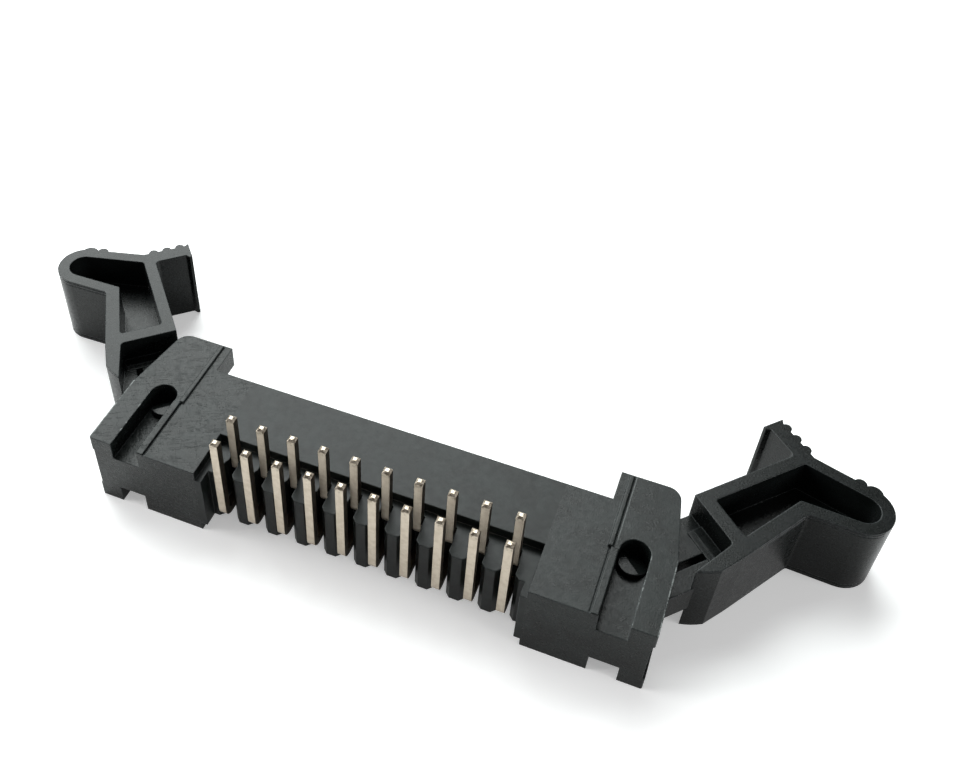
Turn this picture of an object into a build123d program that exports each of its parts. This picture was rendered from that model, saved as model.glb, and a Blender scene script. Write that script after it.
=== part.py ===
from build123d import *
import os
from math import asin, atan2, cos, degrees, hypot, radians, sin, tan

# Right-angle ejector header for flat cable: 2 rows of 10 contacts and two swinging latches.
# The header is modelled as it lies on its flat back: +X runs along the contact rows, +Y is the
# way the cable socket is pushed out of it, and +Z is the way the solder tails point. The origin
# is on the face that meets the circuit board, in the middle of the solder tails. All sizes are mm.

# Contacts: square wire, bent once, in two rows
columns = 10
pitch = 2.0
row_gap = 2.0
wire = 0.5
tail_length = 3.0
bend_radius = 0.25
tip_bevel = 0.14

# Housing
height = 5.6
end_reach = 8.75
back_y = -1.6
wall_y = 1.32
floor_y = 2.55
rim_y = 6.35
tab_y = 8.5
pin_reach = 5.55
rim_wall = 0.7
cavity_reach = 4.25
lead_in = 0.25
key_width = 4.3
key_depth = 2.05
edge_round = 0.12

# How far cuts run past the faces that they open
over = 1.0
seam_over = 0.05

# Comb that locates the solder tails
comb_reach = 1.45
comb_step = 0.65
comb_front_y = 1.75
comb_ledge = 0.4
rib_back_y = -0.65
groove_width = 0.62
groove_mouth = 0.84
mouth_depth = 1.0
rib_round = 0.28

# End blocks, with the slot and the bearings of each latch
plate = 1.58
taper_start_y = 3.4
taper = 0.85
corner_round = 0.9
hinge_offset = 2.1
hinge_y = 3.15
bearing_radius = 0.9
guide_width = 1.8
guide_depth = 1.35
slot_radius = 2.95
side_step = 0.15
side_lip = 1.1
bead_offset = 0.68
bead_width = 0.34
bead_height = 0.14
bead_start_y = 3.0
bead_inset = 0.12
strip_height = 0.1
seam_width = 0.1
seam_depth = 0.06

# Latches, measured from the hinge with the latch closed: u outwards, v along +Y
open_right = 43.5
open_left = 42.0
play = 0.15
arm_clearance = 0.11

# Root of the latch, between the plates
tongue_gap = 0.2
root_step = 0.06
root_reach = 0.8
root_v = 4.5
root_pitch = 0.36
tongue_reach = 1.84
boss_radius = 1.9
toe_reach = 3.0
toe_front = 0.75
toe_back = 0.25
toe_slope = 0.55
heel_reach = 2.5
heel_start = 0.95
relief_u = 0.95
relief_width = 0.45
relief_start = 1.9
relief_end = 4.55

# Trunnions in the bearings
trunnion_play = 0.05
trunnion_rise = 0.85
trunnion_slant = 0.42
trunnion_flat = -0.15

# Arm of the latch
arm_wall = 0.8
rib_wall = 0.9
web = 0.8
arm_length = 7.35
arm_end = 2.5
arm_spread = 3.0
arm_bow = 0.22
post_width = 0.6
post_height = 1.3
post_bulge = 0.06
crook_u = 1.75
crook_round = 0.3
elbow_u = 1.88
elbow_v = 10.8
elbow_wall = 0.97
elbow_rise = 0.22
pocket_round = 0.2

# Ear and hook of the latch
ear_u = 2.92
ear_v = 14.05
ear_radius = 1.8
hook_reach = 2.63
hook_wall = 1.02
hook_lip = 0.28
lip_width = 0.4
finger_inset = 0.65
finger_slope = 26.7
knuckle_u = 1.0
saddle_u = 1.68
grip_pitch = 0.95
grip_width = 0.65
grip_start = 0.38
grip_rise = 0.28
grip_count = 3
tip_width = 0.3
tip_rise = 0.18
line_depth = 0.05
line_width = 0.08
line_drop = 0.06

# Derived places
last_column = (columns - 1) * pitch / 2
half_body = last_column + end_reach
cavity_half = last_column + cavity_reach
comb_half = last_column + comb_reach
hinge_x = cavity_half + hinge_offset
mid_z = -height / 2
row_b_z = mid_z + row_gap / 2
row_a_z = mid_z - row_gap / 2
row_a_y = -row_gap / 2
row_b_y = row_gap / 2
column_x = [i * pitch - last_column for i in range(columns)]
bead_x = cavity_half + bead_offset
arm_u = arm_clearance - hinge_offset
rib_v = tab_y - hinge_y + play
hook_v = rib_v + arm_length
finger_u = arm_u + finger_inset


def block(x0, x1, y0, y1, z0, z1):
    """Box between two corners."""
    return Pos((x0 + x1) / 2, (y0 + y1) / 2, (z0 + z1) / 2) * Box(x1 - x0, y1 - y0, z1 - z0)


def slab(face, z0, z1):
    """Flat outline given in the XY plane, made solid between two heights."""
    return extrude(Pos(0, 0, z0) * face, amount=z1 - z0)


def both_ends(shape):
    """Shape at the +X end together with its mirror image at the -X end."""
    return [shape, mirror(shape, about=Plane.YZ)]


def both_faces(shape):
    """Shape at the board face together with its mirror image at the lower face."""
    return [shape, mirror(shape, about=Plane.XY.offset(mid_z))]


def end_outline():
    """Outline of one end block: straight side, taper towards the front and a rounded corner."""
    side = half_body - taper
    back = [(cavity_half, back_y), (half_body, back_y)]
    front = [(half_body, taper_start_y), (side, tab_y), (cavity_half, tab_y)]
    face = make_face(Polyline(*back, *front, close=True))
    front_corner = face.vertices().sort_by_distance((side, tab_y, 0))[0]
    return fillet(front_corner, corner_round)


def latch_slot():
    """Slot between the two plates of an end block: open to the front, the side and the cavity."""
    ahead = block(cavity_half - seam_over, 2 * half_body, hinge_y, 2 * tab_y, -height + plate, -plate)
    inner = hinge_offset + seam_over
    swing = Circle(slot_radius) & Pos(slot_radius - inner, 0) * Rectangle(2 * slot_radius, 3 * slot_radius)
    return [ahead, slab(Pos(hinge_x, hinge_y) * swing, -height + plate, -plate)]


def bearing():
    """Round hole for a trunnion through one plate, and the guide channel behind it."""
    half = guide_width / 2
    hole = Pos(hinge_x, hinge_y, -plate / 2) * Cylinder(bearing_radius, plate + 4 * seam_over)
    channel = block(hinge_x - half, hinge_x + half, back_y - over, hinge_y, -guide_depth, over)
    return [hole, channel]


def bead():
    """Low raised line along the inner side of an end block's board face."""
    half = bead_width / 2
    line = block(bead_x - half, bead_x + half, bead_start_y, tab_y - bead_inset, -bead_height, bead_height)
    return fillet(line.edges().group_by(Axis.Z)[-1], bead_height * 0.6)


def strip():
    """Raised strip beside the guide channel, which carries the bead on to the back edge."""
    outer = hinge_x - guide_width / 2
    band = block(bead_x + seam_width / 2, outer, back_y, bead_start_y, -strip_height, strip_height)
    return fillet(band.edges().group_by(Axis.Z)[-1], strip_height * 0.5)


def seam():
    """Shallow line along the inner side of the strip."""
    half = seam_width / 2
    return block(bead_x - half, bead_x + half, back_y + seam_width, bead_start_y, -seam_depth, over)


def cavity():
    """Room for the cable socket, with a lead-in at the rim, and the polarising gap in one wall."""
    z0, z1 = -height + rim_wall, -rim_wall
    room = block(-cavity_half, cavity_half, floor_y, rim_y + over, z0, z1)
    inner = rim_y - lead_in
    upper = [(inner, z1), (rim_y, z1 + lead_in), (rim_y + over, z1 + lead_in)]
    lower = [(rim_y + over, z0 - lead_in), (rim_y, z0 - lead_in), (inner, z0)]
    profile = make_face(Polyline(*upper, *lower, close=True))
    lead = extrude(Pos(-cavity_half, 0, 0) * (Plane.YZ * profile), amount=2 * cavity_half)
    gap = block(-key_width / 2, key_width / 2, rim_y - key_depth, rim_y + over, -height - over, mid_z)
    return [room, lead, gap]


def groove(x):
    """Groove for one column: rounded mouth, wide outer part and a narrow inner part."""
    wide = groove_mouth / 2
    narrow = groove_width / 2
    bend_y = rib_back_y + mouth_depth
    mouth = [(x - wide - rib_round, rib_back_y), (x - wide, rib_back_y + rib_round)]
    left = mouth + [(x - wide, bend_y), (x - narrow, bend_y + (groove_mouth - groove_width))]
    right = [(2 * x - px, py) for px, py in reversed(left)]
    face = make_face(Polyline(*left, (x - narrow, wall_y), (x + narrow, wall_y), *right, close=True))
    return slab(face, -height - over, over)


def comb():
    """Material taken away round the solder tails: a shallow step, a deep bay and a groove per column."""
    steps = both_faces(block(-comb_half, comb_half, back_y - over, comb_front_y, -comb_step, over))
    bay_half = comb_half - comb_ledge
    bay = block(-bay_half, bay_half, back_y - over, rib_back_y, -height - over, over)
    return steps + [bay] + [groove(x) for x in column_x]


def wire_holes():
    """Square holes that hold the contacts in the wall between the comb and the cavity."""
    half = wire / 2
    holes = []
    for x in column_x:
        for z in (row_a_z, row_b_z):
            holes.append(block(x - half, x + half, wall_y - over / 2, floor_y + over / 2, z - half, z + half))
        bend_y = row_b_y + half + bend_radius
        holes.append(block(x - half, x + half, wall_y - over / 10, bend_y, row_b_z, row_b_z + half + bend_radius))
    return holes


def make_housing():
    """One moulded piece: shroud, comb, and an end block with two plates at each end."""
    middle = block(-cavity_half, cavity_half, back_y, rim_y, -height, 0)
    body = middle + both_ends(slab(end_outline(), -height, 0))
    outer = body.edges().filter_by(Axis.Z).filter_by(lambda e: abs(e.center().X) > half_body - seam_over)
    body = fillet(outer, edge_round)
    body -= cavity()
    for cut in latch_slot():
        body -= both_ends(cut)
    for cut in bearing():
        for one in both_faces(cut):
            body -= both_ends(one)
    body -= comb()
    body -= wire_holes()
    body -= both_ends(seam())
    side = half_body - side_step
    body -= both_ends(block(side, half_body + over, back_y - over, taper_start_y, side_lip - height, -side_lip))
    body += both_ends(bead())
    body += both_ends(strip())
    return body


def make_contact(x, tail_y, pin_z):
    """Square wire from the tip of the solder tail, round one bend, to the tip in the cavity."""
    corners = [(x, tail_y, tail_length), (x, tail_y, pin_z), (x, pin_reach, pin_z)]
    path = FilletPolyline(*corners, radius=bend_radius + wire / 2)
    section = Plane(origin=corners[0], x_dir=(1, 0, 0), z_dir=(0, 0, -1)) * Rectangle(wire, wire)
    pin = sweep(section, path=path)
    tail_tip = pin.faces().filter_by(Plane.XY).sort_by(Axis.Z)[-1]
    pin_tip = pin.faces().filter_by(Plane.XZ).sort_by(Axis.Y)[-1]
    return chamfer(tail_tip.edges() + pin_tip.edges(), tip_bevel)


def polar(u, v, radius, angle):
    """Point at a distance and an angle from (u, v)."""
    return (u + radius * cos(radians(angle)), v + radius * sin(radians(angle)))


def slope_point(u):
    """Point on the straight finger face of the hook."""
    return (u, hook_v + hook_wall + (u - finger_u) * tan(radians(finger_slope)))


def ridge(p, q, rise):
    """Arc from p to q that stands out to the left of the way from q to p."""
    du, dv = q[0] - p[0], q[1] - p[1]
    size = hypot(du, dv)
    middle = ((p[0] + q[0]) / 2 - dv / size * rise, (p[1] + q[1]) / 2 + du / size * rise)
    return ThreePointArc(p, middle, q)


def ear_angle():
    """Direction of the ear's lower edge, tangent from the elbow to the ear's round end."""
    du, dv = ear_u - elbow_u, ear_v - elbow_v
    return degrees(atan2(dv, du) - asin(ear_radius / hypot(du, dv)))


def corners_at(face, points):
    """Corners of a flat face that lie nearest to the given points."""
    return [face.vertices().sort_by_distance((u, v, 0))[0] for u, v in points]


def post_corners():
    """Inner and outer corner of the arm's free end."""
    return (arm_spread - post_width, arm_end), (arm_spread, arm_end + post_height)


def grip_edges(top):
    """Three rounded teeth with flat valleys between them, and the rise to the tip of the hook."""
    edges = []
    u = finger_u
    for i in range(grip_count):
        start = finger_u - grip_start - i * grip_pitch
        edges.append(Line((u, top), (start, top)))
        u = start - grip_width
        edges.append(ridge((u, top), (start, top), grip_rise))
    tip_u = arm_u - hook_reach
    edges.append(Polyline((u, top), (tip_u + tip_width, top), (tip_u, top + tip_rise)))
    return edges


def frame_outline():
    """Full-height part of the latch seen from above: arm, ear and hook."""
    tip_u = arm_u - hook_reach
    top = hook_v + hook_wall
    inner_post, outer_post = post_corners()
    ear_low = polar(ear_u, ear_v, ear_radius, ear_angle() - 90)
    ear_top = polar(ear_u, ear_v, ear_radius, 100)
    knuckle = slope_point(knuckle_u)
    saddle = slope_point(saddle_u)
    inside = [(tip_u, top + tip_rise), (tip_u, hook_v - hook_lip)]
    inside += [(tip_u + lip_width / 2, hook_v - hook_lip), (tip_u + lip_width, hook_v)]
    inside += [(arm_u, hook_v), (arm_u, rib_v), (crook_u, rib_v), inner_post]
    outside = [outer_post, (arm_spread - arm_bow, rib_v), (elbow_u, elbow_v), ear_low]
    edges = [Polyline(*inside), ridge(outer_post, inner_post, post_bulge), Polyline(*outside)]
    edges.append(ThreePointArc(ear_low, polar(ear_u, ear_v, ear_radius, 20), ear_top))
    edges.append(ridge(saddle, ear_top, grip_rise))
    edges.append(ridge(knuckle, saddle, grip_rise))
    edges.append(Line(knuckle, (finger_u, top)))
    face = make_face(edges + grip_edges(top))
    face = fillet(corners_at(face, [(arm_u, hook_v), (crook_u, rib_v)]), crook_round)
    return fillet(corners_at(face, [(elbow_u, elbow_v)]), pocket_round)


def pocket_outline():
    """Hollow of the arm and ear, one wall thickness inside the outline."""
    radius = ear_radius - arm_wall
    start = (arm_u + arm_wall, rib_v + rib_wall)
    apex_v = slope_point(start[0])[1] - arm_wall / cos(radians(finger_slope))
    apex = (start[0], apex_v)
    round_top = polar(ear_u, ear_v, radius, 90 + finger_slope)
    round_low = polar(ear_u, ear_v, radius, ear_angle() - 90)
    elbow_in = (elbow_u - elbow_wall, elbow_v + elbow_rise)
    foot = (arm_spread - arm_bow - 1.4 * arm_wall, rib_v + rib_wall)
    edges = [Polyline(round_low, elbow_in, foot, start, apex, round_top)]
    edges.append(ThreePointArc(round_top, polar(ear_u, ear_v, radius, 30), round_low))
    face = make_face(edges)
    return fillet(corners_at(face, [elbow_in, foot, start, apex]), pocket_round)


def tongue_outline():
    """Thin root of the latch that turns in the slot: round boss, toe inside, heel outside."""
    toe_start = polar(0, 0, boss_radius, 180 + degrees(asin(toe_back / boss_radius)))
    inside = rib_v + rib_wall / 3
    heel = [(boss_radius, 0), (heel_reach, heel_start), (heel_reach, arm_end + post_height / 5)]
    root = [(arm_spread - post_width / 2, arm_end + post_height), (crook_u + post_width / 2, inside)]
    toe = [(-tongue_reach, inside), (-tongue_reach, toe_front + toe_slope), (-toe_reach, toe_front)]
    toe += [(-toe_reach, -toe_back), toe_start]
    edges = [Polyline(*heel, *root, *toe), ThreePointArc(toe_start, (0, -boss_radius), (boss_radius, 0))]
    gap_v = (relief_start + relief_end) / 2
    gap = Pos(relief_u, gap_v) * Rectangle(relief_width, relief_end - relief_start)
    return make_face(edges) - gap


def root_band(start_v, gap):
    """Thicker band of the root in front of the rib, with its own gap to the plates."""
    end_v = rib_v + rib_wall / 3
    width = root_reach + crook_u
    middle = Pos((crook_u - root_reach) / 2, (start_v + end_v) / 2)
    return slab(middle * Rectangle(width, end_v - start_v), gap + plate - height, -plate - gap)


def trunnion():
    """Stub that turns in the bearing, slanted at the front of its top so that it springs in."""
    root_z = -plate - tongue_gap
    radius = bearing_radius - trunnion_play
    top = root_z + trunnion_rise
    stub = Pos(0, 0, (root_z + top) / 2) * Cylinder(radius, trunnion_rise)
    drop = trunnion_slant * (2 * radius - trunnion_flat) / radius
    slope = [(trunnion_flat, top), (2 * radius, top - drop)]
    wedge = make_face(Polyline(*slope, (2 * radius, top + over), (trunnion_flat, top + over), close=True))
    return stub - extrude(Plane.YZ * wedge, amount=2 * radius, both=True)


def parting_lines():
    """Fine grooves below the rim: two along the ear's lower side and one on the arm's free end."""
    inner = offset(frame_outline(), amount=-line_depth)
    reach = 2 * ear_radius
    ear = Pos(elbow_u + reach, ear_v - reach) * Rectangle(2 * reach, 2 * reach) - inner
    post = Pos(arm_spread - post_width / 2, arm_end) * Rectangle(1.5 * post_width, 2 * post_height) - inner
    lines = [slab(ear, -drop - line_width, -drop) for drop in (line_drop, 5 * line_drop)]
    return lines + [slab(post, -line_drop - line_width, -line_drop)]


def closed_latch():
    """One moulded latch at the +X end in the closed position, hinge on the Z axis."""
    body = slab(frame_outline(), -height, 0)
    for cut in both_faces(slab(pocket_outline(), mid_z + web / 2, over)):
        body -= cut
    for line in parting_lines():
        for cut in both_faces(line):
            body -= cut
    body += slab(tongue_outline(), -height + plate + tongue_gap, -plate - tongue_gap)
    for i in range(2):
        body += root_band(root_v + i * root_pitch, tongue_gap - (i + 1) * root_step)
    body += both_faces(trunnion())
    return body


def make_latch(open_angle):
    """Latch at the +X end, swung open as the header lies at rest."""
    return Pos(hinge_x, hinge_y, 0) * Rot(0, 0, -open_angle) * closed_latch()


def save(shape, name):
    """Write one piece to its own file."""
    export_step(shape, os.path.join("parts", name + ".step"))


os.makedirs("parts", exist_ok=True)
save(make_housing(), "housing")
save(make_latch(open_right), "latch_right")
save(mirror(make_latch(open_left), about=Plane.YZ), "latch_left")
for i, x in enumerate(column_x):
    save(make_contact(x, row_a_y, row_a_z), f"contact_a{i + 1:02d}")
    save(make_contact(x, row_b_y, row_b_z), f"contact_b{i + 1:02d}")
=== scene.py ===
import bpy
from mathutils import Matrix, Vector


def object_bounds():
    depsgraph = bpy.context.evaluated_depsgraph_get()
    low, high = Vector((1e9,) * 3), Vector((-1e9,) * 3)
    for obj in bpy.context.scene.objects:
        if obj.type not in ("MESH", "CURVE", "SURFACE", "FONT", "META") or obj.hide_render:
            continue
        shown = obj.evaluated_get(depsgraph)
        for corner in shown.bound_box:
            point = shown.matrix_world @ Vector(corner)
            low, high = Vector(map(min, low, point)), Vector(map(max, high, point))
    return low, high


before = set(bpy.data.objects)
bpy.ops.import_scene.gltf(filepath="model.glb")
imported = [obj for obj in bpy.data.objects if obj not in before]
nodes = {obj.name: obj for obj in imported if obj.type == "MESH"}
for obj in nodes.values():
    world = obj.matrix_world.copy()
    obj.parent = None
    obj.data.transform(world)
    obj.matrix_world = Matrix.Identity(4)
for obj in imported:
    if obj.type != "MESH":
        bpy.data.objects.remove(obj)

cad_low, cad_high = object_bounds()
MM = 0.001

# Node settings that come back often
SMOOTH = {"interpolation_type": "SMOOTHSTEP"}
COLOUR = {"data_type": "RGBA"}
PLUS, MINUS, TIMES = {"operation": "ADD"}, {"operation": "SUBTRACT"}, {"operation": "MULTIPLY"}
LARGER, SIZE = {"operation": "MAXIMUM"}, {"operation": "ABSOLUTE"}

# Places on the header, in mm: x is measured from its middle, z from the face that meets the board
BLOCK_EDGE = 10.45            # x where the wall meets an end block
CHANNEL_EDGE = 16.25          # x of a guide channel's outer edge
SEAM = 14.21                  # x of the seam on the right end block
OUTER_HIGHLIGHT = (17.66, 17.72)  # x over which the painted highlight on an end block's outer edge sets in
BOARD_FACE = (-0.08, -0.02)   # z over which a mark on the board face fades out downwards
TIP_SPOTS = (2.45, 2.9)       # z over which the bare spots on a tail's point set in
BEND_SHADE = (-3.4, -3.2)    # z over which the painted shade inside a contact's bend fades out upwards


# Colours and nodes

def from_hex(code):
    """sRGB hex to linear light: c / 12.92 for dark values, ((c + 0.055) / 1.055) ** 2.4 for the rest."""
    values = [int(code[i:i + 2], 16) / 255 for i in (1, 3, 5)]
    return [c / 12.92 if c <= 0.04045 else ((c + 0.055) / 1.055) ** 2.4 for c in values] + [1.0]


def add(tree, kind, settings=None, **inputs):
    """Adds one node and returns its first enabled output; .node.outputs has the others. Inputs are set by socket
    name, with _ for a space, or by number as i0, i1; a socket is linked and a value is written."""
    node = tree.nodes.new(kind)
    for name, value in (settings or {}).items():
        setattr(node, name, value)
    for name, value in inputs.items():
        key = int(name[1:]) if name[0] == "i" and name[1:].isdigit() else name.replace("_", " ")
        if isinstance(value, bpy.types.NodeSocket):
            tree.links.new(value, node.inputs[key])
        else:
            node.inputs[key].default_value = value
    return next((socket for socket in node.outputs if socket.enabled), node)


def new_material(name):
    """An empty node material with Object coordinates counted in millimetres."""
    material = bpy.data.materials.new(name)
    material.use_nodes = True
    tree = material.node_tree
    tree.nodes.clear()
    place = add(tree, "ShaderNodeTexCoord").node.outputs["Object"]
    mm = add(tree, "ShaderNodeVectorMath", {"operation": "SCALE"}, Vector=place, Scale=1 / MM)
    return material, tree, mm


def line_at(tree, value, at, core, edge, strength):
    """A line where a value is at a level: |value - at| fades it from its strength at core to nothing at edge."""
    offset = add(tree, "ShaderNodeMath", MINUS, i0=value, i1=at)
    offset = add(tree, "ShaderNodeMath", SIZE, i0=offset)
    return add(tree, "ShaderNodeMapRange", SMOOTH, Value=offset,
               From_Min=core, From_Max=edge, To_Min=strength, To_Max=0.0)


def scratches(tree, mm, turn, strength):
    """Hairline scratches that run one way: the level lines of a noise that is stretched 9 times along them. Real
    ones are under 0.02 mm wide, so they are drawn two or three times as wide."""
    way = add(tree, "ShaderNodeMapping", {"vector_type": "TEXTURE"}, Vector=mm,
              Rotation=(0.0, 0.0, turn), Scale=(9.0, 1.0, 1.0))
    level = add(tree, "ShaderNodeTexNoise", Vector=way, Scale=1.5, Detail=3.0, Roughness=0.55, Distortion=1.8)
    return line_at(tree, level, 0.5, 0.0, 0.03, strength)


# Mouldings

def moulding(name, colour, pale, rough, bands):
    """Glass-filled PBT, injection moulded in a spark-eroded tool: a black with a fine grain, cloudy where the melt
    flowed, whose corners have a small tool radius that catches the light. The grain scatters most of the shine, so
    the specular level is low. bands adds what is special to one moulding: it gets the tree, the millimetre
    coordinates, the base colour, the grain and a cloud, and returns the colour, the grain and a roughness to add."""
    material, tree, mm = new_material(name)
    flow = add(tree, "ShaderNodeTexNoise", Vector=mm, Scale=0.5, Detail=4.0, Roughness=0.65, Distortion=0.6)
    cloud = add(tree, "ShaderNodeTexNoise", Vector=mm, Scale=2.4, Detail=4.0, Roughness=0.7)
    # The real grain is about 0.03 mm, too fine to show, so it is drawn coarser.
    grain = add(tree, "ShaderNodeTexNoise", Vector=mm, Scale=10.0, Detail=2.0, Roughness=0.7)
    drift = add(tree, "ShaderNodeMapRange", SMOOTH, Value=flow, From_Min=0.35, From_Max=0.68, To_Min=0.0, To_Max=1.0)
    base = add(tree, "ShaderNodeMix", COLOUR, i0=drift, i6=from_hex(colour), i7=from_hex(pale))
    # The rounded normal leans away from the true one near a corner only. There the black is painted pale in patches,
    # partly as wear and partly as a painted highlight on the corner. The real corners are rounded by about 0.05 mm,
    # and are drawn wider so that they show.
    corner = add(tree, "ShaderNodeBevel", {"samples": 8}, Radius=0.085 * MM)
    true_normal = add(tree, "ShaderNodeNewGeometry").node.outputs["True Normal"]
    lean = add(tree, "ShaderNodeVectorMath", {"operation": "DOT_PRODUCT"}, i0=corner, i1=true_normal)
    edge = add(tree, "ShaderNodeMapRange", SMOOTH, Value=lean, From_Min=0.985, From_Max=0.80, To_Min=0.0, To_Max=1.0)
    wear_and_highlight = add(tree, "ShaderNodeMath", TIMES, i0=edge, i1=cloud)
    base = add(tree, "ShaderNodeMix", COLOUR, i0=wear_and_highlight, i6=base, i7=from_hex("#5c6162"))
    base, grain, more_rough = bands(tree, mm, base, grain, cloud)
    bump = add(tree, "ShaderNodeBump", Strength=1.0, Distance=0.009 * MM, Height=grain, Normal=corner)
    gloss = add(tree, "ShaderNodeMapRange", SMOOTH, Value=cloud,
                From_Min=0.3, From_Max=0.7, To_Min=rough - 0.03, To_Max=rough + 0.05)
    gloss = add(tree, "ShaderNodeMath", PLUS, i0=gloss, i1=more_rough)
    shader = add(tree, "ShaderNodeBsdfPrincipled", Base_Color=base, Normal=bump, Roughness=gloss,
                 IOR=1.5, Specular_IOR_Level=0.2)
    add(tree, "ShaderNodeOutputMaterial", Surface=shader)
    return material


def housing_bands(tree, mm, base, grain, cloud):
    """The end blocks were cut by other electrodes than the wall: beyond a fine witness line they are rougher and
    mottled. The outer edges of the guide channels carry a little torn flash, drawn together with a painted highlight;
    the seam on the right block and the outer edges of the end blocks carry a painted highlight. The left block has
    the most scratches from handling."""
    across, along, up = add(tree, "ShaderNodeSeparateXYZ", Vector=mm).node.outputs
    reach = add(tree, "ShaderNodeMath", SIZE, i0=across)
    block = add(tree, "ShaderNodeMapRange", SMOOTH, Value=reach,
                From_Min=BLOCK_EDGE - 0.05, From_Max=BLOCK_EDGE + 0.05, To_Min=0.0, To_Max=1.0)
    top = add(tree, "ShaderNodeMapRange", SMOOTH, Value=up,
              From_Min=BOARD_FACE[0], From_Max=BOARD_FACE[1], To_Min=0.0, To_Max=1.0)
    witness = line_at(tree, reach, BLOCK_EDGE, 0.0, 0.06, 0.8)
    witness = add(tree, "ShaderNodeMath", TIMES, i0=witness, i1=top)
    base = add(tree, "ShaderNodeMix", COLOUR, i0=witness, i6=base, i7=from_hex("#050606"))

    # Pale lines: on the outer edge of each channel behind the latch hole, torn flash drawn together with a painted
    # highlight; on the seam in front of it on the right, and along the outer edge of each end block, a painted
    # highlight.
    # They are drawn about twice as wide as they are, like the witness line.
    torn = add(tree, "ShaderNodeMapRange", SMOOTH, Value=cloud, From_Min=0.5, From_Max=0.62, To_Min=0.0, To_Max=1.0)
    rear = add(tree, "ShaderNodeMapRange", SMOOTH, Value=along, From_Min=3.0, From_Max=3.5, To_Min=1.0, To_Max=0.0)
    front = add(tree, "ShaderNodeMapRange", SMOOTH, Value=along, From_Min=3.2, From_Max=4.0, To_Min=0.0, To_Max=1.0)
    ragged = add(tree, "ShaderNodeMapRange", SMOOTH, Value=cloud,
                 From_Min=0.44, From_Max=0.58, To_Min=0.1, To_Max=1.0)
    rim = line_at(tree, reach, CHANNEL_EDGE, 0.02, 0.09, 1.0)
    seam = line_at(tree, across, SEAM, 0.0, 0.05, 0.8)
    outer = add(tree, "ShaderNodeMapRange", SMOOTH, Value=reach,
                From_Min=OUTER_HIGHLIGHT[0], From_Max=OUTER_HIGHLIGHT[1], To_Min=0.0, To_Max=0.9)
    flash_and_highlight = 0.0
    for line, masks in ((rim, (torn, rear)), (seam, (front, cloud)), (outer, (ragged,))):
        for mask in masks + (top,):
            line = add(tree, "ShaderNodeMath", TIMES, i0=line, i1=mask)
        flash_and_highlight = add(tree, "ShaderNodeMath", LARGER, i0=flash_and_highlight, i1=line)
    # Painted highlight: these lines are mixed towards a pale grey, over a little real flash on the channel rims.
    base = add(tree, "ShaderNodeMix", COLOUR, i0=flash_and_highlight, i6=base, i7=from_hex("#8b908f"))

    # Scratches lie in patches and are shallow cuts, a little paler than the black.
    share = add(tree, "ShaderNodeMapRange", Value=block, From_Min=0.0, From_Max=1.0, To_Min=0.25, To_Max=1.0)
    patch = add(tree, "ShaderNodeMapRange", SMOOTH, Value=cloud, From_Min=0.36, From_Max=0.56, To_Min=0.0, To_Max=1.0)
    handled = add(tree, "ShaderNodeMapRange", Value=across, From_Min=-8.0, From_Max=8.0, To_Min=1.0, To_Max=0.18)
    hair = add(tree, "ShaderNodeMath", LARGER, i0=scratches(tree, mm, 0.5, 0.24), i1=scratches(tree, mm, -0.9, 0.2))
    for mask in (patch, share, handled):
        hair = add(tree, "ShaderNodeMath", TIMES, i0=hair, i1=mask)
    base = add(tree, "ShaderNodeMix", COLOUR, i0=hair, i6=base, i7=from_hex("#2e3333"))
    grain = add(tree, "ShaderNodeMath", TIMES, i0=grain, i1=share)
    cuts = add(tree, "ShaderNodeMath", TIMES, i0=hair, i1=-2.8)
    grain = add(tree, "ShaderNodeMath", PLUS, i0=grain, i1=cuts)

    more_rough = add(tree, "ShaderNodeMapRange", Value=block, From_Min=0.0, From_Max=1.0, To_Min=0.08, To_Max=0.0)
    mottle = add(tree, "ShaderNodeTexNoise", Vector=mm, Scale=3.0, Detail=6.0, Roughness=0.75, Distortion=1.2)
    mottle = add(tree, "ShaderNodeMapRange", Value=mottle, From_Min=0.35, From_Max=0.65, To_Min=-0.05, To_Max=0.07)
    mottle = add(tree, "ShaderNodeMath", TIMES, i0=mottle, i1=share)
    more_rough = add(tree, "ShaderNodeMath", PLUS, i0=more_rough, i1=mottle)
    return base, grain, more_rough


def latch_bands(tree, mm, base, grain, cloud):
    """The latches are moulded all in one finish, a little coarser than the wall, with a few pale rubs from the
    mould's release."""
    rub = add(tree, "ShaderNodeTexNoise", Vector=mm, Scale=1.1, Detail=5.0, Roughness=0.75, Distortion=1.5)
    rub = add(tree, "ShaderNodeMapRange", SMOOTH, Value=rub, From_Min=0.62, From_Max=0.74, To_Min=0.0, To_Max=0.35)
    base = add(tree, "ShaderNodeMix", COLOUR, i0=rub, i6=base, i7=from_hex("#3c4042"))
    grain = add(tree, "ShaderNodeMath", TIMES, i0=grain, i1=1.2)
    return base, grain, 0.0


# Contacts

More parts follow.
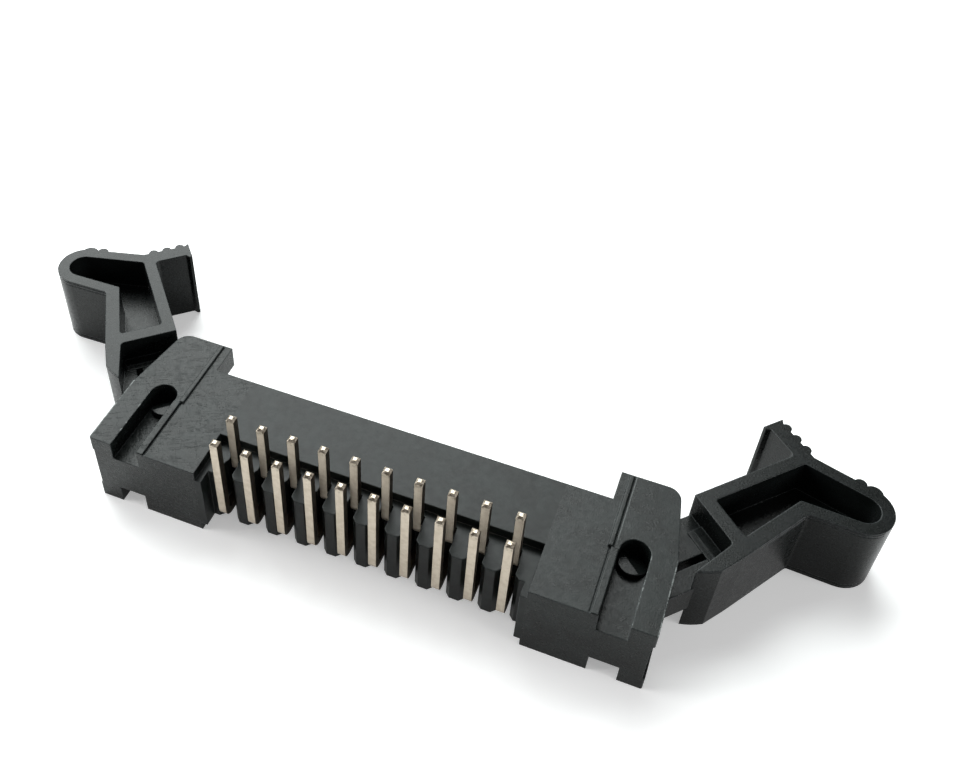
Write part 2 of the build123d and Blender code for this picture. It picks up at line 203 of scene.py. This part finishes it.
def tin_plate(name):
    """Bright tin over stamped brass strip: a warm, softly mottled silver on the rolled faces. The faces that look
    along x are painted darker as shade, streaked along their length. Where the bend runs low, its upward faces in
    front are painted dark as shade, and the points have dark, bare spots."""
    material, tree, mm = new_material(name)
    along = add(tree, "ShaderNodeMapping", Vector=mm, Scale=(9.0, 9.0, 0.6))
    drawn = add(tree, "ShaderNodeTexNoise", Vector=along, Scale=1.2, Detail=3.0, Roughness=0.6)
    cloud = add(tree, "ShaderNodeTexNoise", Vector=mm, Scale=2.6, Detail=2.0, Roughness=0.6)
    drift = add(tree, "ShaderNodeMapRange", SMOOTH, Value=cloud, From_Min=0.35, From_Max=0.7, To_Min=0.0, To_Max=1.0)
    base = add(tree, "ShaderNodeMix", COLOUR, i0=drift, i6=from_hex("#c9beae"), i7=from_hex("#bdb1a0"))

    normal = add(tree, "ShaderNodeTexCoord").node.outputs["Normal"]
    facing = add(tree, "ShaderNodeSeparateXYZ", Vector=normal).node.outputs
    place = add(tree, "ShaderNodeSeparateXYZ", Vector=mm).node.outputs
    # Painted shade: faces that look along x are mixed towards a dark, streaked brown.
    side = add(tree, "ShaderNodeMath", SIZE, i0=facing["X"])
    side = add(tree, "ShaderNodeMapRange", SMOOTH, Value=side, From_Min=0.75, From_Max=0.95, To_Min=0.0, To_Max=1.0)
    streaks = add(tree, "ShaderNodeMapRange", SMOOTH, Value=drawn,
                  From_Min=0.35, From_Max=0.65, To_Min=0.75, To_Max=0.95)
    painted_side_shade = add(tree, "ShaderNodeMath", TIMES, i0=side, i1=streaks)
    base = add(tree, "ShaderNodeMix", COLOUR, i0=painted_side_shade, i6=base, i7=from_hex("#544c42"))

    # Painted shade: the upward faces of the low bend, in front of y = 1.3 mm, are mixed towards a dark brown.
    low = add(tree, "ShaderNodeMapRange", SMOOTH, Value=place["Z"],
              From_Min=BEND_SHADE[0], From_Max=BEND_SHADE[1], To_Min=0.85, To_Max=0.0)
    painted_bend_shade = add(tree, "ShaderNodeMath", {"operation": "MULTIPLY", "use_clamp": True}, i0=low, i1=facing["Z"])
    behind = add(tree, "ShaderNodeMapRange", SMOOTH, Value=place["Y"],
                 From_Min=1.3, From_Max=1.5, To_Min=1.0, To_Max=0.0)
    painted_bend_shade = add(tree, "ShaderNodeMath", TIMES, i0=painted_bend_shade, i1=behind)
    base = add(tree, "ShaderNodeMix", COLOUR, i0=painted_bend_shade, i6=base, i7=from_hex("#3a332b"))

    tip = add(tree, "ShaderNodeMapRange", SMOOTH, Value=place["Z"],
              From_Min=TIP_SPOTS[0], From_Max=TIP_SPOTS[1], To_Min=0.0, To_Max=1.0)
    pit = add(tree, "ShaderNodeTexNoise", Vector=mm, Scale=6.0, Detail=2.0)
    pit = add(tree, "ShaderNodeMapRange", SMOOTH, Value=pit, From_Min=0.48, From_Max=0.60, To_Min=0.0, To_Max=0.6)
    spot = add(tree, "ShaderNodeMath", TIMES, i0=tip, i1=pit)
    base = add(tree, "ShaderNodeMix", COLOUR, i0=spot, i6=base, i7=from_hex("#4a3c2c"))

    corner = add(tree, "ShaderNodeBevel", {"samples": 8}, Radius=0.05 * MM)
    bump = add(tree, "ShaderNodeBump", Strength=1.0, Distance=0.003 * MM, Height=cloud, Normal=corner)
    gloss = add(tree, "ShaderNodeMapRange", SMOOTH, Value=drawn,
                From_Min=0.3, From_Max=0.7, To_Min=0.38, To_Max=0.46)
    shader = add(tree, "ShaderNodeBsdfPrincipled", Base_Color=base, Metallic=1.0, Normal=bump, Roughness=gloss)
    add(tree, "ShaderNodeOutputMaterial", Surface=shader)
    return material


housing_black = moulding("housing_black_pbt", "#0d100f", "#181d1c", 0.27, housing_bands)
latch_black = moulding("latch_black_pbt", "#0f1211", "#141717", 0.27, latch_bands)
tinned = tin_plate("tinned_brass")
for name, node in nodes.items():
    coat = tinned if name.startswith("contact") else latch_black if name.startswith("latch") else housing_black
    node.data.materials.clear()
    node.data.materials.append(coat)


# Floor and light

def paper_floor(name, width, height, code):
    """A square floor at one height, in metres, seen as plain pale paper that rises to white beyond the object's
    shadow. The rise is glow that the camera sees, and a share of it shows in reflections; it lights nothing else."""
    mesh = bpy.data.meshes.new(name)
    half = width / 2
    corners = [(-half, -half, height), (half, -half, height), (half, half, height), (-half, half, height)]
    mesh.from_pydata(corners, [], [(0, 1, 2, 3)])
    floor = bpy.data.objects.new(name, mesh)
    bpy.context.scene.collection.objects.link(floor)
    material, tree, mm = new_material(name)
    paper = add(tree, "ShaderNodeBsdfDiffuse", Color=from_hex(code))
    away = add(tree, "ShaderNodeVectorMath", {"operation": "LENGTH"}, i0=mm)
    lift = add(tree, "ShaderNodeMapRange", SMOOTH, Value=away, From_Min=70.0, From_Max=250.0, To_Min=0.34, To_Max=1.0)
    glow = add(tree, "ShaderNodeEmission", Color=from_hex("#ffffff"), Strength=lift)
    both = add(tree, "ShaderNodeAddShader", i0=paper, i1=glow)
    path = add(tree, "ShaderNodeLightPath").node.outputs
    mirrored = add(tree, "ShaderNodeMath", TIMES, i0=path["Is Glossy Ray"], i1=0.45)
    seen = add(tree, "ShaderNodeMath", {"operation": "ADD", "use_clamp": True}, i0=path["Is Camera Ray"], i1=mirrored)
    surface = add(tree, "ShaderNodeMixShader", Fac=seen, i1=paper, i2=both)
    add(tree, "ShaderNodeOutputMaterial", Surface=surface)
    mesh.materials.append(material)


def softbox(name, place, target, width, height, watts, tint=(1.0, 1.0, 1.0)):
    """A rectangular lamp that faces a point, all in metres."""
    lamp = bpy.data.lights.new(name, "AREA")
    lamp.shape = "RECTANGLE"
    lamp.size, lamp.size_y, lamp.energy, lamp.color = width, height, watts, tint
    box = bpy.data.objects.new(name, lamp)
    bpy.context.scene.collection.objects.link(box)
    box.location = place
    box.rotation_mode = "QUATERNION"
    box.rotation_quaternion = (Vector(target) - Vector(place)).to_track_quat("-Z", "Y")


def soft_room(camera_light, room_light):
    """A plain white world: one strength for what the camera sees, another for what lights the object."""
    world = bpy.data.worlds.new("soft_room")
    world.use_nodes = True
    bpy.context.scene.world = world
    tree = world.node_tree
    tree.nodes.clear()
    ray = add(tree, "ShaderNodeLightPath").node.outputs["Is Camera Ray"]
    strength = add(tree, "ShaderNodeMix", {"data_type": "FLOAT"}, i0=ray, i2=room_light, i3=camera_light)
    light = add(tree, "ShaderNodeBackground", Color=from_hex("#ffffff"), Strength=strength)
    add(tree, "ShaderNodeOutputWorld", Surface=light)


paper_floor("floor", width=3.0, height=cad_low.z, code="#f2f2f2")
middle = (0.0, 0.006, -0.002)
softbox("key_above_behind", (-0.20, 0.26, 0.33), middle, 0.46, 0.40, 3.9, tint=(0.95, 1.0, 0.99))
softbox("fill_left", (-0.40, -0.10, 0.14), middle, 0.20, 0.16, 1.2)
softbox("fill_right", (0.42, -0.02, 0.12), middle, 0.22, 0.14, 0.8)
soft_room(camera_light=1.0, room_light=0.15)


# Camera

def place_camera(place, right, up, lens, shift):
    """A camera at a place in metres, turned so that right and up are its own axes, with its lens in mm."""
    data = bpy.data.cameras.new("camera")
    data.sensor_width, data.lens = 36.0, lens
    data.shift_x, data.shift_y = shift
    data.clip_start, data.clip_end = 0.005, 10.0
    camera = bpy.data.objects.new("camera", data)
    bpy.context.scene.collection.objects.link(camera)
    x, y = Vector(right).normalized(), Vector(up).normalized()
    turn = Matrix((x, y, x.cross(y))).transposed()
    camera.matrix_world = Matrix.Translation(place) @ turn.to_4x4()
    bpy.context.scene.camera = camera


place_camera(place=(0.015895, -0.035785, 0.053975),
             right=(0.92766, 0.37295, 0.01869), up=(-0.26836, 0.63102, 0.72787),
             lens=42.12, shift=(0.0773, -0.0878))
bpy.context.scene.view_settings.view_transform = "Standard"
